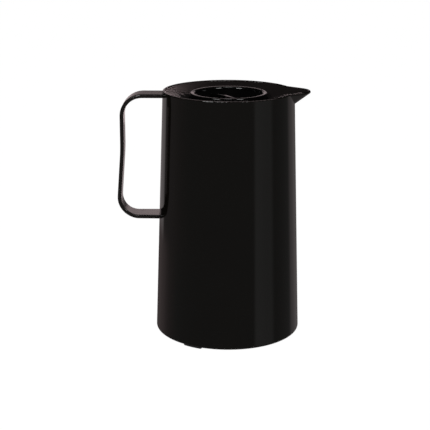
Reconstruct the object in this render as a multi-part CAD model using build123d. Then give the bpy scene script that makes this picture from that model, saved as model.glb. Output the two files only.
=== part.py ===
"""Thermal carafe: a tapered vacuum jug with a pouring beak, a strap handle and a screw stopper.

Lengths are millimetres, +Z is up and the table is at z = 0. Every piece is built round the jug's own
axis, with the beak towards +X and the handle towards -X, and all are then moved together so that the
origin lies under the middle of the whole outline.
"""

from build123d import *
from math import cos, sin, tan, atan, radians
import os

os.makedirs("parts", exist_ok=True)

# Outer shell: a tapered sleeve, open at both ends
FOOT_DROP = 2.0
SHELL_HEIGHT = 240.0
BASE_RADIUS = 71.8
RIM_RADIUS = 63.7
SHELL_WALL = 2.4
EDGE_ROUND = 2.0
LIP_ROUND = 1.0
LEDGE_WIDTH = 1.8
LEDGE_HEIGHT = 3.0

# Beak: straight sides that meet in a round nose, a short upright lip and a slanting underside
BEAK_REACH = 79.0
BEAK_NOSE_RADIUS = 19.0
BEAK_HALF_ANGLE = 38.7
BEAK_LIP = 1.8
BEAK_UNDER_ANGLE = 35.9
BEAK_ROOT_X = 30.0

# Pouring collar: the dished top, its trough and the neck that holds the stopper
COLLAR_WALL = 2.2
COLLAR_SKIRT = 15.0
DISH_EDGE_DROP = 0.8
DISH_SLOPE = 16.0
DISH_FOOT_RADIUS = 38.2
LAND_DROP = 0.8
FLARE_RADIUS = 36.2
FLARE_DEPTH = 7.8
NECK_RADIUS = 31.0
SEAT_RADIUS = 26.0
SEAT_DEPTH = 24.8
SEAT_FLANGE = 2.5
TROUGH_RADIUS = 100.0
TROUGH_SLOPE = 5.9
TROUGH_START_X = 52.0

# Screw stopper: cap with its recess and grip bar, plug, washer, ring, foam and bottom cover
CAP_RADIUS = 37.4
CAP_LAND = 4.6
CAP_TOP_DROP = 2.0
CAP_LIFT = 0.5
CAP_ROUND = 1.2
CAP_WALL = 1.8
BOWL_RADIUS = 24.0
BOWL_ROUND = 2.2
BOWL_STRAIGHT = 2.8
BOWL_CONE = 12.2
BOWL_DEPTH = 21.0
GRIP_WIDTH = 3.9
GRIP_DROP = 4.0
GRIP_CROWN = 1.6
GRIP_ROUND = 0.8
GRIP_ANGLE = -58.4
PLUG_RADIUS = 28.4
PLUG_FLOOR = 3.0
SPIGOT_RADIUS = 25.4
SPIGOT_WALL = 2.9
SPIGOT_LENGTH = 6.4
SEAL_THICK = 3.0
SEAL_RADIUS = 29.6
O_RING_THICK = 1.6
COVER_RADIUS = 21.6
COVER_WALL = 1.6
COVER_REACH = 9.0

# Vacuum flask: two glass walls that are fused at the mouth
FLASK_RADIUS = 56.0
FLASK_NECK_RADIUS = 30.0
GLASS = 1.6
VACUUM_GAP = 3.4
FLASK_FOOT_ROUND = 34.0
FLASK_SHOULDER_ROUND = 24.0
FLASK_NECK_ROUND = 7.0
SHOULDER_RISE = 24.0
NECK_RISE = 13.0
TIP_RADIUS = 4.0
TIP_LENGTH = 5.0
SPACER_RADIUS = 5.0
SPACER_CIRCLE = 15.0
GASKET_THICK = 2.5
GASKET_WALL = 1.6
GASKET_SKIRT = 5.0

# Base: screw-in cap, seal ring, three feet and the rubber cushion under the flask
CAP_RECESS = 0.4
BASE_PLATE = 2.6
BASE_SKIRT = 12.0
BASE_SKIRT_WALL = 2.4
BASE_SEAL = 1.0
THREAD_RING_WALL = 1.9
THREAD_RING_HEIGHT = 12.0
THREAD_SPACE = 1.8
FOOT_COUNT = 3
FOOT_WIDTH = 8.0
FOOT_ARC = 16.6
FOOT_INSET = 0.6
FOOT_POCKET = 0.8
CUSHION_RADIUS = 21.0
CUSHION_FLANGE = 24.0
CUSHION_FLANGE_THICK = 2.5
CUSHION_HEIGHT = 11.0
CUSHION_BORE = 9.0
SOCKET_HEIGHT = 4.0
SOCKET_WALL = 2.0

# Handle: a bent strap with a tongue at each end that snaps into the shell
STRAP_WIDTH = 20.0
STRAP_THICK = 3.7
STRAP_ROUND = 1.2
STRAP_TOP_DROP = 2.6
STRAP_LOW_Z = 117.85
STRAP_REACH = 104.9
STRAP_BEND_Z = 184.0
STRAP_LEAN = 4.3
STRAP_TOP_BEND = 20.2
STRAP_LOW_BEND = 18.7
TONGUE_WIDTH = 14.0
TONGUE_THICK = 2.2
TONGUE_REACH = 3.2
TONGUE_DROP = 0.5
BARB = 0.7

# Clearances
FIT = 0.2
RUNNING_FIT = 0.08
SURFACE_GAP = 0.05
TURNING_GAP = 0.4

# Heights and radii that follow from the sizes above
EDGE_Z = FOOT_DROP
RIM_Z = EDGE_Z + SHELL_HEIGHT
COLLAR_RADIUS = RIM_RADIUS - SHELL_WALL - FIT
COLLAR_FOOT_Z = RIM_Z - DISH_EDGE_DROP - COLLAR_SKIRT
DISH_EDGE_Z = RIM_Z - DISH_EDGE_DROP
DISH_FOOT_Z = DISH_EDGE_Z - (COLLAR_RADIUS - DISH_FOOT_RADIUS) * tan(radians(DISH_SLOPE))
LAND_Z = DISH_FOOT_Z - LAND_DROP
SEAT_Z = LAND_Z - SEAT_DEPTH
SEAL_TOP_Z = SEAT_Z + SEAL_THICK
CAP_TOP_Z = RIM_Z - CAP_TOP_DROP
CAP_FOOT_Z = LAND_Z + CAP_LIFT
BOWL_FLOOR_Z = CAP_TOP_Z - BOWL_DEPTH
BOWL_NECK_Z = CAP_TOP_Z - BOWL_STRAIGHT - BOWL_CONE
BOWL_MOUTH_RADIUS = CAP_RADIUS - CAP_LAND
SHOULDER_Z = BOWL_NECK_Z + CAP_WALL / 2
PLUG_TOP_Z = SHOULDER_Z - O_RING_THICK
SPIGOT_FOOT_Z = SEAL_TOP_Z - SPIGOT_LENGTH
MOUTH_Z = SEAT_Z - SEAT_FLANGE - GASKET_THICK
PLATE_Z = EDGE_Z + CAP_RECESS
PLATE_TOP_Z = PLATE_Z + BASE_PLATE
THREAD_RING_Z = PLATE_TOP_Z + BASE_SEAL
FLASK_FOOT_Z = PLATE_TOP_Z + CUSHION_HEIGHT
NECK_FOOT_Z = MOUTH_Z - NECK_RISE
FLASK_SHOULDER_Z = NECK_FOOT_Z - SHOULDER_RISE
STRAP_TOP_Z = RIM_Z - STRAP_TOP_DROP - STRAP_THICK / 2


def shell_radius(z):
    return BASE_RADIUS + (RIM_RADIUS - BASE_RADIUS) * (z - EDGE_Z) / SHELL_HEIGHT


THREAD_RING_TOP_Z = THREAD_RING_Z + THREAD_RING_HEIGHT
THREAD_RING_RADIUS = shell_radius(THREAD_RING_TOP_Z) - SHELL_WALL - THREAD_RING_WALL


def turned(points):
    """A solid turned about the jug's axis from an outline of (radius, height) points."""
    outline = Polyline(*points, close=True)
    return revolve(Plane.XZ * make_face(outline), Axis.Z)


def ring(inner, outer, low, high):
    return turned([(inner, low), (outer, low), (outer, high), (inner, high)])


def block(x_range, y_range, z_range):
    """A box from its lowest and highest coordinates."""
    sizes = [high - low for low, high in (x_range, y_range, z_range)]
    middle = [(low + high) / 2 for low, high in (x_range, y_range, z_range)]
    return Pos(*middle) * Box(*sizes)


def shell_cone(inset):
    """The body's full cone, with its side moved inwards by inset."""
    return turned([
        (0, EDGE_Z),
        (BASE_RADIUS - inset, EDGE_Z),
        (RIM_RADIUS - inset, RIM_Z),
        (0, RIM_Z),
    ])


def beak_outline(inset):
    """The beak seen from above, with its sides and nose moved inwards by inset."""
    middle_x = BEAK_REACH - BEAK_NOSE_RADIUS
    nose = BEAK_NOSE_RADIUS - inset
    turn = radians(90 - BEAK_HALF_ANGLE)
    touch_x = middle_x + nose * cos(turn)
    touch_y = nose * sin(turn)
    back_y = touch_y + (touch_x - BEAK_ROOT_X) * tan(radians(BEAK_HALF_ANGLE))
    arc = ThreePointArc((touch_x, touch_y), (middle_x + nose, 0), (touch_x, -touch_y))
    sides = Polyline((touch_x, touch_y), (BEAK_ROOT_X, back_y), (BEAK_ROOT_X, -back_y), (touch_x, -touch_y))
    return make_face([arc, sides])


def beak_wedge(inset):
    """The upright lip and the slanting part below it, long enough to end inside the body."""
    outline = beak_outline(inset)
    lip = extrude(Pos(0, 0, RIM_Z) * outline, BEAK_LIP, dir=(0, 0, -1))
    slant = radians(BEAK_UNDER_ANGLE)
    length = (BEAK_REACH - RIM_RADIUS + 3 * SHELL_WALL) / cos(slant)
    under = extrude(Pos(0, 0, RIM_Z - BEAK_LIP) * outline, length, dir=(-cos(slant), 0, -sin(slant)))
    return lip + under


def trough_cylinder(grow):
    """The large lying cylinder whose underside is the trough; grow sinks it by that much."""
    slope = radians(TROUGH_SLOPE)
    start_z = DISH_FOOT_Z + (TROUGH_START_X - DISH_FOOT_RADIUS) * tan(radians(DISH_SLOPE))
    along = Vector(cos(slope), 0, sin(slope))
    normal = Vector(-sin(slope), 0, cos(slope))
    middle = Vector(TROUGH_START_X, 0, start_z) + normal * TROUGH_RADIUS
    return Plane(middle, z_dir=along) * Cylinder(TROUGH_RADIUS + grow, 2 * BEAK_REACH)


def tongue(z, inside_radius, grow):
    """A handle tongue as a block through the shell's wall, grown by a clearance for its slot."""
    return block(
        (-inside_radius - STRAP_WIDTH / 2, -inside_radius + TONGUE_REACH + grow),
        (-TONGUE_WIDTH / 2 - grow, TONGUE_WIDTH / 2 + grow),
        (z - TONGUE_THICK / 2 - grow, z + TONGUE_THICK / 2 + grow),
    )


def tongue_places():
    """Height of each tongue and the shell's inner radius there."""
    heights = [STRAP_TOP_Z - TONGUE_DROP, STRAP_LOW_Z]
    return [(z, shell_radius(z) - SHELL_WALL) for z in heights]


def outer_shell():
    body = shell_cone(0) + beak_wedge(0)
    lower_edge = body.edges().group_by(Axis.Z)[0]
    body = fillet(lower_edge, EDGE_ROUND)
    body -= shell_cone(SHELL_WALL) + beak_wedge(SHELL_WALL)
    body = fillet(body.faces().sort_by(Axis.Z)[-1].edges(), LIP_ROUND)
    thread_ring = ring(THREAD_RING_RADIUS, BASE_RADIUS, THREAD_RING_Z, THREAD_RING_TOP_Z)
    ledge = turned([
        (COLLAR_RADIUS - LEDGE_WIDTH, COLLAR_FOOT_Z),
        (BASE_RADIUS, COLLAR_FOOT_Z),
        (BASE_RADIUS, COLLAR_FOOT_Z - 2 * LEDGE_HEIGHT),
        (COLLAR_RADIUS, COLLAR_FOOT_Z - LEDGE_HEIGHT),
    ])
    body += (thread_ring + ledge) & shell_cone(SHELL_WALL / 2)
    for z, inside_radius in tongue_places():
        body -= tongue(z, inside_radius, FIT)
    return body


def dish_top(radius):
    """Height of the dish's upper face at a radius."""
    return DISH_FOOT_Z + (radius - DISH_FOOT_RADIUS) * tan(radians(DISH_SLOPE))


def dish_under(radius):
    return dish_top(radius) - COLLAR_WALL / cos(radians(DISH_SLOPE))


def pouring_collar():
    skirt_inner = COLLAR_RADIUS - COLLAR_WALL
    flare_outer = FLARE_RADIUS + COLLAR_WALL
    neck_outer = NECK_RADIUS + COLLAR_WALL
    collar = turned([
        (COLLAR_RADIUS, DISH_EDGE_Z),
        (DISH_FOOT_RADIUS, DISH_FOOT_Z),
        (DISH_FOOT_RADIUS, LAND_Z),
        (FLARE_RADIUS, LAND_Z),
        (NECK_RADIUS, LAND_Z - FLARE_DEPTH),
        (NECK_RADIUS, SEAT_Z),
        (SEAT_RADIUS, SEAT_Z),
        (SEAT_RADIUS, SEAT_Z - SEAT_FLANGE),
        (neck_outer, SEAT_Z - SEAT_FLANGE),
        (neck_outer, LAND_Z - FLARE_DEPTH),
        (flare_outer, dish_under(flare_outer)),
        (skirt_inner, dish_under(skirt_inner)),
        (skirt_inner, COLLAR_FOOT_Z),
        (COLLAR_RADIUS, COLLAR_FOOT_Z),
    ])
    above_dish = turned([
        (DISH_FOOT_RADIUS, DISH_FOOT_Z),
        (COLLAR_RADIUS, DISH_EDGE_Z),
        (BEAK_REACH, DISH_EDGE_Z),
        (BEAK_REACH, RIM_Z),
        (DISH_FOOT_RADIUS, RIM_Z),
    ])
    wedge = beak_wedge(SHELL_WALL + FIT)
    trough = (wedge & trough_cylinder(COLLAR_WALL)) - shell_cone(RIM_RADIUS - TROUGH_START_X) - above_dish
    collar = collar + trough - (wedge & trough_cylinder(0))
    inner_z = dish_under(skirt_inner)
    half_slot = TONGUE_WIDTH / 2 + 2 * FIT
    return collar - block(
        (-RIM_RADIUS, -skirt_inner + 2 * TONGUE_REACH),
        (-half_slot, half_slot),
        (COLLAR_FOOT_Z - 1, inner_z),
    )


def stopper_cap():
    cone_lean = (BOWL_MOUTH_RADIUS - BOWL_RADIUS) / BOWL_CONE
    cone_wall = CAP_WALL * (1 + cone_lean**2) ** 0.5

    def cone_outside(z):
        return BOWL_RADIUS + (z - BOWL_NECK_Z) * cone_lean + cone_wall

    step_z = BOWL_NECK_Z + (PLUG_RADIUS - BOWL_RADIUS - cone_wall) / cone_lean
    wall_radius = BOWL_RADIUS + CAP_WALL
    underside = BOWL_FLOOR_Z - CAP_WALL
    cap = turned([
        (0, CAP_TOP_Z),
        (CAP_RADIUS, CAP_TOP_Z),
        (CAP_RADIUS, CAP_FOOT_Z),
        (cone_outside(CAP_FOOT_Z), CAP_FOOT_Z),
        (PLUG_RADIUS, step_z),
        (PLUG_RADIUS, SHOULDER_Z),
        (wall_radius, SHOULDER_Z),
        (wall_radius, underside),
        (0, underside),
    ])
    bowl = turned([
        (0, CAP_TOP_Z),
        (BOWL_MOUTH_RADIUS, CAP_TOP_Z),
        (BOWL_MOUTH_RADIUS, CAP_TOP_Z - BOWL_STRAIGHT),
        (BOWL_RADIUS, BOWL_NECK_Z),
        (BOWL_RADIUS, BOWL_FLOOR_Z),
        (0, BOWL_FLOOR_Z),
    ])
    arch_radius = (BOWL_MOUTH_RADIUS**2 + GRIP_CROWN**2) / (2 * GRIP_CROWN)
    arch = Pos(0, 0, CAP_TOP_Z - GRIP_DROP - arch_radius) * Rot(90, 0, 0) * Cylinder(arch_radius, CAP_RADIUS)
    grip = block(
        (-BOWL_MOUTH_RADIUS - 1, BOWL_MOUTH_RADIUS + 1),
        (-GRIP_WIDTH / 2, GRIP_WIDTH / 2),
        (BOWL_FLOOR_Z - CAP_WALL / 2, CAP_TOP_Z),
    )
    grip = fillet((grip & arch).edges().filter_by(GeomType.CIRCLE), GRIP_ROUND)
    grip = Rot(0, 0, GRIP_ANGLE) * grip & cap
    cap = fillet(cap.edges().group_by(Axis.Z)[-1], CAP_ROUND) - bowl
    bowl_rim = cap.edges().group_by(Axis.Z)[-1].sort_by(SortBy.RADIUS)[0]
    return fillet(bowl_rim, BOWL_ROUND) + grip


def stopper_plug():
    sleeve_inner = BOWL_RADIUS + CAP_WALL + FIT
    spigot_inner = SPIGOT_RADIUS - SPIGOT_WALL
    return turned([
        (PLUG_RADIUS, PLUG_TOP_Z),
        (sleeve_inner, PLUG_TOP_Z),
        (sleeve_inner, SEAL_TOP_Z + PLUG_FLOOR),
        (spigot_inner, SEAL_TOP_Z + PLUG_FLOOR),
        (spigot_inner, SPIGOT_FOOT_Z),
        (SPIGOT_RADIUS, SPIGOT_FOOT_Z),
        (SPIGOT_RADIUS, SEAL_TOP_Z),
        (PLUG_RADIUS, SEAL_TOP_Z),
    ])


def stopper_bottom_cover():
    """A cup that closes the plug; its rim stands in the spigot and its bottom in the flask's mouth."""
    rim_radius = SPIGOT_RADIUS - SPIGOT_WALL - FIT
    bottom = SPIGOT_FOOT_Z - COVER_REACH
    inside = COVER_RADIUS - COVER_WALL
    cup = turned([
        (0, bottom),
        (COVER_RADIUS, bottom),
        (COVER_RADIUS, SPIGOT_FOOT_Z),
        (rim_radius, SPIGOT_FOOT_Z),
        (rim_radius, SEAL_TOP_Z),
        (inside, SEAL_TOP_Z),
        (inside, bottom + COVER_WALL),
        (0, bottom + COVER_WALL),
    ])
    return fillet(cup.edges().filter_by(GeomType.CIRCLE).group_by(Axis.Z)[0], COVER_WALL)


def stopper_insulation():
    radius = COVER_RADIUS - COVER_WALL - FIT
    low = SPIGOT_FOOT_Z - COVER_REACH + COVER_WALL
    return ring(0, radius, low, BOWL_FLOOR_Z - CAP_WALL)


def stopper_seal():
    return ring(SPIGOT_RADIUS + RUNNING_FIT, SEAL_RADIUS, SEAT_Z, SEAL_TOP_Z)


def stopper_o_ring():
    middle_radius = (PLUG_RADIUS + BOWL_RADIUS + CAP_WALL) / 2
    return Pos(0, 0, PLUG_TOP_Z + O_RING_THICK / 2) * Torus(middle_radius, O_RING_THICK / 2 - SURFACE_GAP)


def flask_form(inset, top):
    """The flask's closed form with every face moved inwards by inset, cut off at top."""
    lean = atan((FLASK_RADIUS - FLASK_NECK_RADIUS) / SHOULDER_RISE)
    drop = inset * tan(lean / 2)
    neck = FLASK_NECK_RADIUS - inset
    foot = FLASK_FOOT_Z + inset
    side = FilletPolyline(
        (0, foot),
        (FLASK_RADIUS - inset, foot),
        (FLASK_RADIUS - inset, FLASK_SHOULDER_Z - drop),
        (neck, NECK_FOOT_Z - drop),
        (neck, top),
        radius=[FLASK_FOOT_ROUND - inset, FLASK_SHOULDER_ROUND - inset, FLASK_NECK_ROUND + inset],
    )
    closing = Polyline((neck, top), (0, top), (0, foot))
    return revolve(Plane.XZ * make_face([side, closing]), Axis.Z)


def flask_outer_wall():
    top = MOUTH_Z - GLASS
    tip = Pos(0, 0, FLASK_FOOT_Z - TIP_LENGTH / 2) * Cone(TIP_RADIUS / 3, TIP_RADIUS, TIP_LENGTH)
    return flask_form(0, top) + tip - flask_form(GLASS, top)


def flask_inner_wall():
    outside = GLASS + VACUUM_GAP
    lip = ring(FLASK_NECK_RADIUS - outside - GLASS, FLASK_NECK_RADIUS, MOUTH_Z - GLASS, MOUTH_Z)
    return flask_form(outside, MOUTH_Z) + lip - flask_form(outside + GLASS, MOUTH_Z)


def flask_spacers():
    low = FLASK_FOOT_Z + GLASS
    pad = Pos(SPACER_CIRCLE, 0, low + VACUUM_GAP / 2) * Cylinder(SPACER_RADIUS, VACUUM_GAP)
    return Compound([Rot(0, 0, 120 * i) * pad for i in range(3)])


def flask_gasket():
    """A ring on the flask's mouth with a skirt that hugs the glass outside."""
    skirt_inner = FLASK_NECK_RADIUS + SURFACE_GAP
    return turned([
        (SEAT_RADIUS, MOUTH_Z),
        (SEAT_RADIUS, MOUTH_Z + GASKET_THICK),
        (skirt_inner + GASKET_WALL, MOUTH_Z + GASKET_THICK),
        (skirt_inner + GASKET_WALL, MOUTH_Z - GASKET_SKIRT),
        (skirt_inner, MOUTH_Z - GASKET_SKIRT),
        (skirt_inner, MOUTH_Z),
    ])


def flask_cushion():
    return turned([
        (CUSHION_BORE, PLATE_TOP_Z),
        (CUSHION_FLANGE, PLATE_TOP_Z),
        (CUSHION_FLANGE, PLATE_TOP_Z + CUSHION_FLANGE_THICK),
        (CUSHION_RADIUS, PLATE_TOP_Z + 2 * CUSHION_FLANGE_THICK),
        (CUSHION_RADIUS, FLASK_FOOT_Z),
        (CUSHION_BORE, FLASK_FOOT_Z),
    ])


def foot_pad(low, high, grow):
    """One foot: a short curved bar under the edge of the base, grown by a clearance for its pocket."""
    outer = base_plate_radius() - FOOT_INSET + grow
    bar = ring(outer - FOOT_WIDTH - 2 * grow, outer, low, high)
    half = radians(FOOT_ARC / 2) + grow / outer
    reach = 2 * outer
    edge_y = reach * tan(half)
    sector = make_face(Polyline((0, 0), (reach, edge_y), (reach, -edge_y), close=True))
    return bar & extrude(Pos(0, 0, low) * sector, high - low)


def base_plate_radius():
    return shell_radius(PLATE_Z) - SHELL_WALL - TURNING_GAP


def around(piece, count):
    return [Rot(0, 0, 360 / count * i) * piece for i in range(count)]


def base_feet():
    pad = foot_pad(0, PLATE_Z + FOOT_POCKET, 0)
    pad = fillet(pad.edges().group_by(Axis.Z)[0], FOOT_POCKET)
    return Compound(around(pad, FOOT_COUNT))


def base_cap():
    skirt_outer = THREAD_RING_RADIUS - THREAD_SPACE
    plate = ring(0, base_plate_radius(), PLATE_Z, PLATE_TOP_Z)
    skirt = ring(skirt_outer - BASE_SKIRT_WALL, skirt_outer, PLATE_TOP_Z, PLATE_TOP_Z + BASE_SKIRT)
    socket_inner = CUSHION_FLANGE + TURNING_GAP
    socket = ring(socket_inner, socket_inner + SOCKET_WALL, PLATE_TOP_Z, PLATE_TOP_Z + SOCKET_HEIGHT)
    cap = plate + skirt + socket
    for pocket in around(foot_pad(PLATE_Z - 1, PLATE_Z + FOOT_POCKET, SURFACE_GAP), FOOT_COUNT):
        cap -= pocket
    return cap


def base_seal_ring():
    return ring(THREAD_RING_RADIUS, base_plate_radius() - FIT, PLATE_TOP_Z, THREAD_RING_Z)


def handle():
    """The strap swept along its bent middle line, ending on the shell, plus its two tongues."""
    middle_x = -(STRAP_REACH - STRAP_THICK / 2)
    low_x = middle_x - (STRAP_BEND_Z - STRAP_LOW_Z) * tan(radians(STRAP_LEAN))
    start = -RIM_RADIUS + SHELL_WALL
    line = FilletPolyline(
        (start, 0, STRAP_TOP_Z),
        (middle_x, 0, STRAP_TOP_Z),
        (middle_x, 0, STRAP_BEND_Z),
        (low_x, 0, STRAP_LOW_Z),
        (start, 0, STRAP_LOW_Z),
        radius=[STRAP_TOP_BEND, 10 * STRAP_WIDTH, STRAP_LOW_BEND],
    )
    section = Plane((start, 0, STRAP_TOP_Z), x_dir=(0, 1, 0), z_dir=(-1, 0, 0))
    strap = sweep(section * RectangleRounded(STRAP_WIDTH, STRAP_THICK, STRAP_ROUND), line)
    strap -= shell_cone(-SURFACE_GAP)
    for z, inside_radius in tongue_places():
        barb_x = -inside_radius + TONGUE_REACH / 2
        barb = block(
            (barb_x, barb_x + TONGUE_REACH / 2),
            (-TONGUE_WIDTH / 2, TONGUE_WIDTH / 2),
            (z - TONGUE_THICK / 2 - BARB, z),
        )
        strap += tongue(z, inside_radius, 0) + barb
    return strap


MAKERS = [
    outer_shell, pouring_collar, handle,
    flask_inner_wall, flask_outer_wall, flask_spacers, flask_gasket,
    flask_cushion, base_cap, base_seal_ring, base_feet,
    stopper_seal, stopper_cap, stopper_plug, stopper_bottom_cover, stopper_insulation, stopper_o_ring,
]
pieces = {make.__name__: make() for make in MAKERS}

beak_tip = pieces["outer_shell"].bounding_box().max.X
handle_back = pieces["handle"].bounding_box().min.X
to_origin = Pos(-(beak_tip + handle_back) / 2, 0, 0)
for name, piece in pieces.items():
    export_step(to_origin * piece, f"parts/{name}.step")
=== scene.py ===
from math import cos, radians, sin, tau

import bpy
from mathutils import Euler, Matrix, Vector


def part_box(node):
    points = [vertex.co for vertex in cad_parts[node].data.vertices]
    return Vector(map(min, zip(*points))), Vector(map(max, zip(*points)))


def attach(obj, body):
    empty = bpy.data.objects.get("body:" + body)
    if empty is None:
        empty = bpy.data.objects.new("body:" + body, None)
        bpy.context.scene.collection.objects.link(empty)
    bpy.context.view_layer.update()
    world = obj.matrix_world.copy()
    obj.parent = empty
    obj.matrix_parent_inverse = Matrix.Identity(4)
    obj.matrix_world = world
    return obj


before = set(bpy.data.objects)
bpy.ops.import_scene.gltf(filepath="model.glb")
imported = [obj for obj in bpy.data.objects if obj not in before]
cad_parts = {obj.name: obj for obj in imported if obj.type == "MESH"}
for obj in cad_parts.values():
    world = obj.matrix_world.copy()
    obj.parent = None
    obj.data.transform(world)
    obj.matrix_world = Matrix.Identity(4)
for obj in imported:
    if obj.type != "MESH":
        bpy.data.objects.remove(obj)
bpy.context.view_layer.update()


# The camera stands a little over a metre in front of the jug and looks down on it through a long lens.
# It is turned and rolled by a fraction of a degree, as a hand-set tripod is.
CAMERA_ASIDE = 0.0001
CAMERA_AWAY = 1.0719
CAMERA_HEIGHT = 0.4213
TILT_DOWN = radians(15.86)
TURN_LEFT = radians(0.69)
ROLL = radians(0.14)
LENS_MM = 93.85
SENSOR_MM = 36.0

# The jug's own axis is the flask's. It isn't at x = 0, since the handle reaches farther than the beak.
axis_x = (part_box("flask_outer_wall")[0].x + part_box("flask_outer_wall")[1].x) / 2

camera_data = bpy.data.cameras.new("camera")
camera_data.lens = LENS_MM
camera_data.sensor_width = SENSOR_MM
camera_data.clip_end = 20.0
camera = bpy.data.objects.new("camera", camera_data)
bpy.context.scene.collection.objects.link(camera)
camera.location = (axis_x + CAMERA_ASIDE, -CAMERA_AWAY, CAMERA_HEIGHT)
facing = Euler((tau / 4 - TILT_DOWN, 0, TURN_LEFT), "XYZ").to_matrix() @ Matrix.Rotation(ROLL, 3, "Z")
camera.rotation_euler = facing.to_euler("XYZ")
bpy.context.scene.camera = camera
bpy.context.scene.view_settings.view_transform = "Standard"


# The studio round the jug: a dim room with one tall soft box on the right, which draws the band down
# the body, and pale walls behind it on both sides, which light the body's edges. The camera sees white.
ROOM_LIGHT = 0.105
RIGHT_LIGHT = ROOM_LIGHT * 0.9
BAND_LIGHT = 0.235
CEILING_LIGHT = (0.012, 0.012, 0.012, 1)
SHADE_LIGHT = (0.13, 0.12, 0.12, 1)
UNDERNEATH_HEIGHTS = (-0.60, -0.45)
TABLE_HEIGHTS = (-0.278, -0.252)
HORIZON_HEIGHTS = (-0.06, 0.0)

world = bpy.data.worlds.new("studio")
bpy.context.scene.world = world
world.use_nodes = True
world_nodes, world_links = world.node_tree.nodes, world.node_tree.links
world_nodes.clear()
direction = world_nodes.new("ShaderNodeTexCoord")
split = world_nodes.new("ShaderNodeSeparateXYZ")
world_links.new(direction.outputs["Generated"], split.inputs[0])
toward_front = world_nodes.new("ShaderNodeMath")
toward_front.operation = "MULTIPLY"
toward_front.inputs[1].default_value = -1.0
world_links.new(split.outputs["Y"], toward_front.inputs[0])
azimuth = world_nodes.new("ShaderNodeMath")
azimuth.operation = "ARCTAN2"
world_links.new(split.outputs["X"], azimuth.inputs[0])
world_links.new(toward_front.outputs[0], azimuth.inputs[1])
around_room = world_nodes.new("ShaderNodeMapRange")
around_room.inputs["From Min"].default_value = -tau / 2
around_room.inputs["From Max"].default_value = tau / 2
world_links.new(azimuth.outputs[0], around_room.inputs["Value"])


def walls(stops):
    """Light round the room; a stop is degrees from the front, a level and how much less green and blue."""
    ramp = world_nodes.new("ShaderNodeValToRGB")
    ramp.color_ramp.interpolation = "EASE"
    elements = ramp.color_ramp.elements
    while len(elements) < len(stops):
        elements.new(0.5)
    for element, (degrees, level, blush) in zip(elements, stops):
        element.position = 0.5 + degrees / 360
        element.color = (level, level * (1 - blush), level * (1 - blush), 1)
    world_links.new(around_room.outputs["Result"], ramp.inputs["Fac"])
    return ramp.outputs["Color"]


def above(heights, low, high):
    """One light below the lower height and another above the higher; a height is a direction's sine."""
    step = world_nodes.new("ShaderNodeMapRange")
    step.interpolation_type = "SMOOTHSTEP"
    step.inputs["From Min"].default_value = heights[0]
    step.inputs["From Max"].default_value = heights[1]
    world_links.new(split.outputs["Z"], step.inputs["Value"])
    blend = world_nodes.new("ShaderNodeMixRGB")
    world_links.new(step.outputs["Result"], blend.inputs["Fac"])
    for colour, socket in ((low, blend.inputs["Color1"]), (high, blend.inputs["Color2"])):
        if isinstance(colour, tuple):
            socket.default_value = colour
        else:
            world_links.new(colour, socket)
    return blend.outputs["Color"]


right_side = [
    (42, ROOM_LIGHT, 0),
    (48, BAND_LIGHT * 1.1, 0),
    (74, BAND_LIGHT * 0.9, 0),
    (84, RIGHT_LIGHT, 0),
    (119, RIGHT_LIGHT, 0),
    (129, 0.23, 0.1),
    (145, 0.23, 0.1),
    (165, 0.14, 0.1),
    (171, 0.14, 0.1),
    (175, 0.42, 0.12),
]
near_table = walls([
    (-165, 0.08, 0.2),
    (-140, 0.15, 0.2),
    (-128, 0.17, 0.2),
    (-108, 0.13, 0.15),
    (-85, ROOM_LIGHT, 0),
] + right_side)
near_wall = walls([
    (-160, 0.28, 0.1),
    (-138, 0.36, 0.1),
    (-134, 0.07, 0.1),
    (-100, 0.12, 0.1),
    (-60, ROOM_LIGHT, 0),
] + right_side)
below_eye = above(UNDERNEATH_HEIGHTS, SHADE_LIGHT, above(TABLE_HEIGHTS, near_table, near_wall))
room = above(HORIZON_HEIGHTS, below_eye, CEILING_LIGHT)
lit_room = world_nodes.new("ShaderNodeBackground")
world_links.new(room, lit_room.inputs["Color"])
white_backdrop = world_nodes.new("ShaderNodeBackground")
white_backdrop.inputs["Color"].default_value = (1, 1, 1, 1)
ray = world_nodes.new("ShaderNodeLightPath")
seen_or_lit = world_nodes.new("ShaderNodeMixShader")
world_links.new(ray.outputs["Is Camera Ray"], seen_or_lit.inputs["Fac"])
world_links.new(lit_room.outputs[0], seen_or_lit.inputs[1])
world_links.new(white_backdrop.outputs[0], seen_or_lit.inputs[2])
world_output = world_nodes.new("ShaderNodeOutputWorld")
world_links.new(seen_or_lit.outputs[0], world_output.inputs["Surface"])


# The table is a pale sheet that runs out of sight. It glows evenly, so that it shows no cast shadow,
# and only a painted contact shadow dims its glow right at the feet.
TABLE_HALF = 4.0
TABLE_DROP = 0.0002
CONTACT_REACH = 0.0015
CONTACT_DARK = 0.30
CONTACT_CLEAR = 0.55

corners = [
    (-TABLE_HALF, -TABLE_HALF, 0),
    (TABLE_HALF, -TABLE_HALF, 0),
    (TABLE_HALF, TABLE_HALF, 0),
    (-TABLE_HALF, TABLE_HALF, 0),
]
table_mesh = bpy.data.meshes.new("studio_table")
table_mesh.from_pydata(corners, [], [(0, 1, 2, 3)])
table = bpy.data.objects.new("studio_table", table_mesh)
table.location.z = -TABLE_DROP
table.visible_glossy = False
bpy.context.scene.collection.objects.link(table)
pale_sheet = bpy.data.materials.new("pale_sheet")
pale_sheet.use_nodes = True
sheet_nodes, sheet_links = pale_sheet.node_tree.nodes, pale_sheet.node_tree.links
sheet_shader = sheet_nodes["Principled BSDF"]
sheet_shader.inputs["Base Color"].default_value = (0.01, 0.01, 0.01, 1)
sheet_shader.inputs["Roughness"].default_value = 0.8
sheet_shader.inputs["Emission Color"].default_value = (1, 1, 1, 1)
# Painted contact shadow: ambient occlusion dims the sheet's glow within a millimetre or two of the feet.
contact_shadow_ao = sheet_nodes.new("ShaderNodeAmbientOcclusion")
contact_shadow_ao.samples = 16
contact_shadow_ao.inputs["Distance"].default_value = CONTACT_REACH
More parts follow.
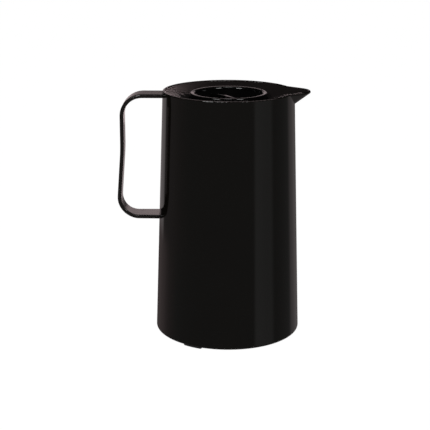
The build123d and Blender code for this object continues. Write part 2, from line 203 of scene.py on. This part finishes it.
glow = sheet_nodes.new("ShaderNodeMapRange")
glow.inputs["From Min"].default_value = CONTACT_DARK
glow.inputs["From Max"].default_value = CONTACT_CLEAR
sheet_links.new(contact_shadow_ao.outputs["AO"], glow.inputs["Value"])
sheet_links.new(glow.outputs["Result"], sheet_shader.inputs["Emission Strength"])
table_mesh.materials.append(pale_sheet)


# Three dim lamps in front and overhead make the small glints. The others are flagged to one piece each:
# boxes low at the right and behind for the collar, a long one over the rim, and cards for cap and handle.
LAMP_TARGET = Vector((axis_x, 0, 0.22))


def flag_to(name):
    """The one piece that a lamp is flagged to, in a collection as the light linking asks for it."""
    flagged = bpy.data.collections.new(f"lamps_on_{name}")
    flagged.objects.link(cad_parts[name])
    flagged.collection_objects[0].light_linking.link_state = "INCLUDE"
    return flagged


def soft_box(
    name, azimuth, elevation, distance, width, height, power, colour=(1, 1, 1), lights=None, shaded_by=None,
):
    """A soft box that faces the jug's top; azimuth 0 is beside the camera and 90 on the right.

    Angles are in degrees, the distance and the size in metres, and the power is in watts. With nothing
    in lights it reaches every piece, and with nothing in shaded_by every piece casts its shadow.
    """
    out = Vector((
        sin(radians(azimuth)) * cos(radians(elevation)),
        -cos(radians(azimuth)) * cos(radians(elevation)),
        sin(radians(elevation)),
    ))
    data = bpy.data.lights.new(name, "AREA")
    data.shape = "RECTANGLE"
    data.size = width
    data.size_y = height
    data.energy = power
    data.color = colour
    lamp = bpy.data.objects.new(name, data)
    lamp.location = LAMP_TARGET + out * distance
    lamp.rotation_euler = out.to_track_quat("Z", "Y").to_euler()
    lamp.visible_camera = False
    lamp.light_linking.receiver_collection = lights
    lamp.light_linking.blocker_collection = shaded_by
    bpy.context.scene.collection.objects.link(lamp)


BLUSH_LIGHT = (1, 0.82, 0.83)

soft_box("left_box", -38, 30, 1.20, 0.38, 0.38, 4.4)
soft_box("right_box", 36, 30, 1.20, 0.38, 0.38, 4.0)
soft_box("top_box", 0, 80, 1.20, 0.30, 0.30, 1.3)

collar = flag_to("pouring_collar")
soft_box("back_side_box", 148, 3.4, 0.80, 0.30, 0.16, 31, BLUSH_LIGHT, collar)
soft_box("side_box", 117, 3, 0.80, 0.30, 0.14, 35, BLUSH_LIGHT, collar)

cap = flag_to("stopper_cap")
soft_box("back_card", 180, 6.8, 0.504, 0.09, 0.09, 0.010, BLUSH_LIGHT, cap)
soft_box("ring_card", 176, 5, 0.62, 0.50, 0.20, 0.075, BLUSH_LIGHT, cap)
soft_box("left_ring_card", -169.8, 16.5, 0.53, 0.09, 0.09, 0.012, BLUSH_LIGHT, cap)
soft_box("right_ring_card", 169.8, 16.5, 0.53, 0.09, 0.09, 0.016, BLUSH_LIGHT, cap)

shell = flag_to("outer_shell")
soft_box("rim_box", 180, 75, 0.60, 1.60, 0.20, 1.1, BLUSH_LIGHT, shell)
soft_box("left_rim_card", -172, 10, 0.53, 0.20, 0.20, 0.06, BLUSH_LIGHT, shell)

strap = flag_to("handle")
soft_box("handle_card", -175, 7, 0.80, 0.60, 0.30, 0.19, BLUSH_LIGHT, strap)
soft_box("low_card", -164, -3.7, 0.312, 0.25, 0.10, 0.04, BLUSH_LIGHT, strap)
soft_box("grip_card", -173.5, -18, 0.50, 0.10, 0.16, 0.018, BLUSH_LIGHT, strap, strap)
soft_box("grip_inside_card", 122, -18, 0.50, 0.50, 0.30, 1.1, BLUSH_LIGHT, strap, strap)


# The outer shell is one injection moulding of black plastic, tapered so that it leaves its mould, with
# the beak in one piece. Its high gloss keeps a little orange peel, faint wiping lines and a scuffed foot.
GLOSS_COLOUR = (0.0024, 0.0020, 0.0015)
PLASTIC_IOR = 1.5
HAZE_PER_METRE = 22
HAZE_SPREAD = (0.3, 0.7)
HAZED_TINT = 1.25
WIPING_PER_METRE = (60, 60, 2500)
WIPED_FROM = (0.62, 0.72)
RUBBING_PER_METRE = 900
SCUFF_HEIGHT = 0.006
SCUFF_WANDER = 0.008


def moulding(name, colour, roughness, grain_size, grain_depth, haze=0.04, wiped=0.0, scuff=0.0):
    """A moulded face: the mould's grain, a hazy gloss, wiping lines and scuffs near the table.

    haze, wiped and scuff say how much each adds to the roughness where it is strongest.
    """
    material = bpy.data.materials.new(name)
    material.use_nodes = True
    nodes, links = material.node_tree.nodes, material.node_tree.links
    shader = nodes["Principled BSDF"]
    shader.inputs["IOR"].default_value = PLASTIC_IOR
    place = nodes.new("ShaderNodeTexCoord")

    grain = nodes.new("ShaderNodeTexNoise")
    grain.inputs["Scale"].default_value = 1 / grain_size
    grain.inputs["Detail"].default_value = 3
    links.new(place.outputs["Object"], grain.inputs["Vector"])
    bump = nodes.new("ShaderNodeBump")
    bump.inputs["Distance"].default_value = grain_depth
    links.new(grain.outputs["Fac"], bump.inputs["Height"])
    links.new(bump.outputs["Normal"], shader.inputs["Normal"])

    cloud = nodes.new("ShaderNodeTexNoise")
    cloud.inputs["Scale"].default_value = HAZE_PER_METRE
    cloud.inputs["Detail"].default_value = 5
    links.new(place.outputs["Object"], cloud.inputs["Vector"])
    rough = nodes.new("ShaderNodeMapRange")
    rough.inputs["From Min"].default_value = HAZE_SPREAD[0]
    rough.inputs["From Max"].default_value = HAZE_SPREAD[1]
    rough.inputs["To Min"].default_value = roughness
    rough.inputs["To Max"].default_value = roughness + haze
    links.new(cloud.outputs["Fac"], rough.inputs["Value"])
    total = rough.outputs["Result"]

    def add_rough(source, low, high, amount):
        """Adds up to amount to the roughness as source goes from low to high."""
        extra = nodes.new("ShaderNodeMapRange")
        extra.inputs["From Min"].default_value = low
        extra.inputs["From Max"].default_value = high
        extra.inputs["To Max"].default_value = amount
        links.new(source, extra.inputs["Value"])
        both = nodes.new("ShaderNodeMath")
        both.operation = "ADD"
        links.new(total, both.inputs[0])
        links.new(extra.outputs["Result"], both.inputs[1])
        return both.outputs[0]

    if wiped:
        lines = nodes.new("ShaderNodeMapping")
        lines.inputs["Scale"].default_value = WIPING_PER_METRE
        links.new(place.outputs["Object"], lines.inputs["Vector"])
        wiping = nodes.new("ShaderNodeTexNoise")
        wiping.inputs["Scale"].default_value = 1
        wiping.inputs["Detail"].default_value = 2
        links.new(lines.outputs["Vector"], wiping.inputs["Vector"])
        total = add_rough(wiping.outputs["Fac"], *WIPED_FROM, wiped)
    if scuff:
        height = nodes.new("ShaderNodeSeparateXYZ")
        links.new(place.outputs["Object"], height.inputs[0])
        rubbing = nodes.new("ShaderNodeTexNoise")
        rubbing.inputs["Scale"].default_value = RUBBING_PER_METRE
        links.new(place.outputs["Object"], rubbing.inputs["Vector"])
        wander = nodes.new("ShaderNodeMath")
        wander.operation = "MULTIPLY_ADD"
        wander.inputs[1].default_value = -SCUFF_WANDER
        links.new(rubbing.outputs["Fac"], wander.inputs[0])
        links.new(height.outputs["Z"], wander.inputs[2])
        total = add_rough(wander.outputs[0], SCUFF_HEIGHT - SCUFF_WANDER / 2, -SCUFF_WANDER / 2, scuff)
    links.new(total, shader.inputs["Roughness"])

    tint = nodes.new("ShaderNodeMix")
    tint.data_type = "RGBA"
    tint.inputs["A"].default_value = (*colour, 1)
    tint.inputs["B"].default_value = (*[c * HAZED_TINT for c in colour], 1)
    links.new(cloud.outputs["Fac"], tint.inputs["Factor"])
    links.new(tint.outputs["Result"], shader.inputs["Base Color"])
    return material


def finish_in(material, *names):
    """Gives CAD nodes their finish."""
    for name in names:
        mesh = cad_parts[name].data
        mesh.materials.clear()
        mesh.materials.append(material)


gloss_black = moulding(
    "gloss_black", GLOSS_COLOUR, roughness=0.05, grain_size=0.004, grain_depth=0.000002,
    wiped=0.05, scuff=0.25,
)
finish_in(gloss_black, "outer_shell")


# The handle is a bent strap of tough black plastic with a softer gloss than the shell. A tongue at
# each end is pushed through the shell's wall and snaps in behind it.
HANDLE_COLOUR = (0.0060, 0.0046, 0.0042)

handle_black = moulding(
    "handle_black", HANDLE_COLOUR, roughness=0.22, grain_size=0.0008, grain_depth=0.000005, wiped=0.06,
)
finish_in(handle_black, "handle")

# The strap's two arms are a quarter wider than its grip. Width is along Y, and the arms run along X.
GRIP_X = -0.088
ARM_X = -0.068
ARM_FLARE = 0.25

flare = bpy.data.node_groups.new("arm_flare", "GeometryNodeTree")
flare.interface.new_socket("Geometry", in_out="INPUT", socket_type="NodeSocketGeometry")
flare.interface.new_socket("Geometry", in_out="OUTPUT", socket_type="NodeSocketGeometry")
flare_nodes, flare_links = flare.nodes, flare.links
strap_in = flare_nodes.new("NodeGroupInput")
strap_out = flare_nodes.new("NodeGroupOutput")
place = flare_nodes.new("GeometryNodeInputPosition")
split_place = flare_nodes.new("ShaderNodeSeparateXYZ")
flare_links.new(place.outputs["Position"], split_place.inputs[0])
share = flare_nodes.new("ShaderNodeMapRange")
share.interpolation_type = "SMOOTHSTEP"
share.inputs["From Min"].default_value = GRIP_X
share.inputs["From Max"].default_value = ARM_X
share.inputs["To Max"].default_value = ARM_FLARE
flare_links.new(split_place.outputs["X"], share.inputs["Value"])
sideways = flare_nodes.new("ShaderNodeMath")
sideways.operation = "MULTIPLY"
flare_links.new(split_place.outputs["Y"], sideways.inputs[0])
flare_links.new(share.outputs["Result"], sideways.inputs[1])
offset = flare_nodes.new("ShaderNodeCombineXYZ")
flare_links.new(sideways.outputs[0], offset.inputs["Y"])
widen = flare_nodes.new("GeometryNodeSetPosition")
flare_links.new(strap_in.outputs[0], widen.inputs["Geometry"])
flare_links.new(offset.outputs[0], widen.inputs["Offset"])
flare_links.new(widen.outputs["Geometry"], strap_out.inputs[0])
arm_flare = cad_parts["handle"].modifiers.new("arm_flare", "NODES")
arm_flare.node_group = flare


# The vacuum flask has two walls of blown glass, fused at the mouth and silvered inside the gap, and a
# sealed tip at the bottom. Three pads of pressed fibre keep the walls apart.
SILVER_COLOUR = (0.86, 0.87, 0.88)
FIBRE_COLOUR = (0.40, 0.39, 0.36)

silvered_glass = moulding(
    "silvered_glass", SILVER_COLOUR, roughness=0.02, grain_size=0.03, grain_depth=0.00004, haze=0.03,
)
glass_shader = silvered_glass.node_tree.nodes["Principled BSDF"]
glass_shader.inputs["Metallic"].default_value = 1.0
glass_shader.inputs["Coat Weight"].default_value = 0.6
glass_shader.inputs["Coat Roughness"].default_value = 0.02
finish_in(silvered_glass, "flask_inner_wall", "flask_outer_wall")
pressed_fibre = moulding(
    "pressed_fibre", FIBRE_COLOUR, roughness=0.85, grain_size=0.0007, grain_depth=0.00006,
)
finish_in(pressed_fibre, "flask_spacers")


# The pouring collar drops into the shell from above and stands on its ledge. It is a second moulding
# with a satin, finely eroded face: dish, trough and the threaded neck that takes the stopper.
COLLAR_COLOUR = (0.0106, 0.0080, 0.0078)
THREAD_STARTS = 3
STOPPER_LEAD = 0.020
NECK_RADIUS = 0.0310
NECK_CREST = 0.0297
THREAD_FOOT_Z = 0.2140
NECK_THREAD_TURN = 186
RIB_STEP_TURN = 3
RIB_END_TURN = 14
RIB_END_SHARE = 0.25
RIB_SUNK_SHARE = 0.25
RIB_ROUNDING = 0.0003
RIB_EDGE_ANGLE = radians(25)

satin_black = moulding(
    "satin_black", COLLAR_COLOUR, roughness=0.66, grain_size=0.0006, grain_depth=0.0000005, wiped=0.03,
)
satin_black.node_tree.nodes["Principled BSDF"].inputs["Specular IOR Level"].default_value = 0.16
finish_in(satin_black, "pouring_collar")


def rounded_ribs(name, points, faces):
    """Ribs moulded with their edges rounded off."""
    mesh = bpy.data.meshes.new(name)
    mesh.from_pydata(points, [], faces)
    mesh.validate()
    ribs = bpy.data.objects.new(name, mesh)
    bpy.context.scene.collection.objects.link(ribs)
    rounding = ribs.modifiers.new("rounding", "BEVEL")
    rounding.width = RIB_ROUNDING
    rounding.segments = 3
    rounding.limit_method = "ANGLE"
    rounding.angle_limit = RIB_EDGE_ANGLE
    for polygon in mesh.polygons:
        polygon.use_smooth = True
    even = ribs.modifiers.new("even_shading", "WEIGHTED_NORMAL")
    even.keep_sharp = True
    return ribs


def thread_rib(name, wall, crest, low, lead, start, sweep, foot=0.0030, top=0.0014):
    """A rib that winds up a round wall through sweep degrees; each end runs out into the wall.

    It rises by lead in a turn, and is as wide as foot at the wall and as wide as top at its crest.
    """
    steps = round(sweep / RIB_STEP_TURN)
    sunk = wall - (crest - wall) * RIB_SUNK_SHARE
    points, faces = [], []
    for i in range(steps + 1):
        turned = sweep * i / steps
        full = min(1, turned / RIB_END_TURN, (sweep - turned) / RIB_END_TURN)
        tip = sunk + (crest - sunk) * (RIB_END_SHARE + (1 - RIB_END_SHARE) * full)
        angle = radians(start + turned)
        middle_z = low + lead * turned / 360
        for radius, offset in ((sunk, -foot / 2), (tip, -top / 2), (tip, top / 2), (sunk, foot / 2)):
            points.append((axis_x + radius * cos(angle), radius * sin(angle), middle_z + offset))
    outward = crest > wall
    sides = 4
    for i in range(steps):
        for j in range(sides):
            a, b = sides * i + j, sides * i + (j + 1) % sides
            face = (a, b, b + sides, a + sides)
            faces.append(face[::-1] if outward else face)
    ends = [(3, 2, 1, 0), tuple(range(sides * steps, sides * (steps + 1)))]
    faces += [end[::-1] for end in ends] if outward else ends
    return rounded_ribs(name, points, faces)


# The neck's ribs start half-way between the plug's, so that the two mesh.
start_turn = 360 / THREAD_STARTS
for i in range(THREAD_STARTS):
    rib = thread_rib(
        f"neck_thread_{i + 1}", NECK_RADIUS, NECK_CREST, THREAD_FOOT_Z, STOPPER_LEAD,
        start_turn / 2 + start_turn * i, NECK_THREAD_TURN,
    )
    rib.data.materials.append(satin_black)
    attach(rib, "jug")


# The gasket is a ring of grey silicone between the flask's mouth and the collar. The same silicone
# makes the stopper's washer and ring and the base's seal.
SILICONE_COLOUR = (0.16, 0.16, 0.155)

grey_silicone = moulding(
    "grey_silicone", SILICONE_COLOUR, roughness=0.45, grain_size=0.0005, grain_depth=0.000004, haze=0.12,
)
silicone_shader = grey_silicone.node_tree.nodes["Principled BSDF"]
silicone_shader.inputs["Subsurface Weight"].default_value = 0.15
silicone_shader.inputs["Subsurface Scale"].default_value = 0.002
finish_in(grey_silicone, "flask_gasket", "stopper_seal", "stopper_o_ring", "base_seal_ring")


# The stopper is a gloss cap with a deep recess and a grip bar, screwed on a plain threaded plug. White
# bead foam fills the plug and a cover closes it; gaps between its lugs let the drink pour past it.
PLUG_RADIUS = 0.0284
PLUG_CREST = 0.0305
LUG_TURN = 66
LUG_GAP = 35
LUGS_A_START = 2
CAP_COLOUR = (0.0012, 0.0012, 0.0012)
PLUG_COLOUR = (0.010, 0.010, 0.010)
FOAM_COLOUR = (0.80, 0.79, 0.76)
BEAD = 0.003
SEAM_SHARE = 0.12
SEAM_DEPTH = 0.0002
SEAM_PAINTED_SHADE = 0.72

stopper_gloss = moulding(
    "stopper_gloss", CAP_COLOUR, roughness=0.09, grain_size=0.003, grain_depth=0.000002, wiped=0.03,
)
finish_in(stopper_gloss, "stopper_cap")
plug_black = moulding("plug_black", PLUG_COLOUR, roughness=0.32, grain_size=0.0005, grain_depth=0.000008)
finish_in(plug_black, "stopper_plug", "stopper_bottom_cover")
for i in range(THREAD_STARTS):
    for j in range(LUGS_A_START):
        turned = j * (LUG_TURN + LUG_GAP)
        rib = thread_rib(
            f"plug_lug_{LUGS_A_START * i + j + 1}", PLUG_RADIUS, PLUG_CREST,
            THREAD_FOOT_Z + STOPPER_LEAD * turned / 360, STOPPER_LEAD, start_turn * i + turned, LUG_TURN,
        )
        rib.data.materials.append(plug_black)
        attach(rib, "stopper")


def bead_foam(name):
    """Moulded bead foam: skins of pressed beads, with painted shade in the sunken line between them."""
    material = moulding(name, FOAM_COLOUR, roughness=0.8, grain_size=BEAD / 4, grain_depth=0.00003)
    nodes, links = material.node_tree.nodes, material.node_tree.links
    place = next(node for node in nodes if node.type == "TEX_COORD")
    beads = nodes.new("ShaderNodeTexVoronoi")
    beads.feature = "DISTANCE_TO_EDGE"
    beads.inputs["Scale"].default_value = 1 / BEAD
    links.new(place.outputs["Object"], beads.inputs["Vector"])
    seam = nodes.new("ShaderNodeMapRange")
    seam.inputs["From Max"].default_value = SEAM_SHARE
    links.new(beads.outputs["Distance"], seam.inputs["Value"])
    dent = nodes.new("ShaderNodeBump")
    dent.inputs["Distance"].default_value = SEAM_DEPTH
    links.new(seam.outputs["Result"], dent.inputs["Height"])
    grain = next(node for node in nodes if node.type == "BUMP" and node != dent)
    links.new(grain.outputs["Normal"], dent.inputs["Normal"])
    links.new(dent.outputs["Normal"], nodes["Principled BSDF"].inputs["Normal"])
    tint = next(node for node in nodes if node.type == "MIX")
    # Painted shade: the foam's colour is darkened in the sunken seams between beads.
    shade = nodes.new("ShaderNodeMix")
    shade.data_type = "RGBA"
    shade.inputs["A"].default_value = (*[c * SEAM_PAINTED_SHADE for c in FOAM_COLOUR], 1)
    links.new(seam.outputs["Result"], shade.inputs["Factor"])
    links.new(tint.outputs["Result"], shade.inputs["B"])
    links.new(shade.outputs["Result"], nodes["Principled BSDF"].inputs["Base Color"])
    return material


finish_in(bead_foam("white_foam"), "stopper_insulation")


# The base cap screws into the shell from below with a two-start thread and closes on the seal ring. It
# is a matt moulding that nobody sees in use; a rubber cushion in its socket presses the flask upwards.
BASE_COLOUR = (0.010, 0.010, 0.010)
BASE_STARTS = 2
BASE_LEAD = 0.008
BASE_THREAD_Z = 0.0080
BASE_THREAD_TURN = 296
BASE_RIB_FOOT = 0.0016
BASE_RIB_TOP = 0.0008
SKIRT_RADIUS = 0.06516
SKIRT_CREST = 0.06655
SHELL_THREAD_RADIUS = 0.06696
SHELL_THREAD_CREST = 0.06556

base_matt = moulding(
    "base_matt", BASE_COLOUR, roughness=0.45, grain_size=0.0006, grain_depth=0.00001, scuff=0.2,
)
finish_in(base_matt, "base_cap")
for i in range(BASE_STARTS):
    start = i * 360 / BASE_STARTS
    outer = thread_rib(
        f"base_thread_{i + 1}", SKIRT_RADIUS, SKIRT_CREST, BASE_THREAD_Z, BASE_LEAD,
        start, BASE_THREAD_TURN, BASE_RIB_FOOT, BASE_RIB_TOP,
    )
    outer.data.materials.append(base_matt)
    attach(outer, "base")
    inner = thread_rib(
        f"shell_thread_{i + 1}", SHELL_THREAD_RADIUS, SHELL_THREAD_CREST, BASE_THREAD_Z, BASE_LEAD,
        start + 180 / BASE_STARTS, BASE_THREAD_TURN, BASE_RIB_FOOT, BASE_RIB_TOP,
    )
    inner.data.materials.append(gloss_black)
    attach(inner, "jug")

# Low ribs under the plate, in a circle, let the palm of a hand turn the cap.
PALM_RIBS = 24
PALM_RIB_INNER = 0.026
PALM_RIB_OUTER = 0.046
PALM_RIB_WIDTH = 0.0024
PALM_RIB_HEIGHT = 0.0010
PALM_RIB_SUNK = 0.0003

plate_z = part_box("base_cap")[0].z
ends = [(PALM_RIB_INNER, -1), (PALM_RIB_OUTER, -1), (PALM_RIB_OUTER, 1), (PALM_RIB_INNER, 1)]
bar_faces = [(0, 1, 2, 3), (7, 6, 5, 4), (0, 4, 5, 1), (1, 5, 6, 2), (2, 6, 7, 3), (3, 7, 4, 0)]
points, faces = [], []
for i in range(PALM_RIBS):
    angle = tau * i / PALM_RIBS
    outwards = Vector((cos(angle), sin(angle), 0))
    across = Vector((-sin(angle), cos(angle), 0)) * (PALM_RIB_WIDTH / 2)
    faces += [tuple(len(points) + corner for corner in face) for face in bar_faces]
    for z in (plate_z + PALM_RIB_SUNK, plate_z - PALM_RIB_HEIGHT):
        for radius, side in ends:
            points.append(Vector((axis_x, 0, z)) + outwards * radius + across * side)
grip_ribs = rounded_ribs("base_grip_ribs", points, faces)
grip_ribs.data.materials.append(base_matt)
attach(grip_ribs, "base")


# Three short feet of black rubber sit in pockets under the base cap's edge; the cushion is the same
# rubber. Both have the dull, slightly dusty face that rubber takes on.
RUBBER_COLOUR = (0.013, 0.013, 0.013)

black_rubber = moulding(
    "black_rubber", RUBBER_COLOUR, roughness=0.62, grain_size=0.0004, grain_depth=0.00001,
    haze=0.2, scuff=0.15,
)
finish_in(black_rubber, "base_feet", "flask_cushion")
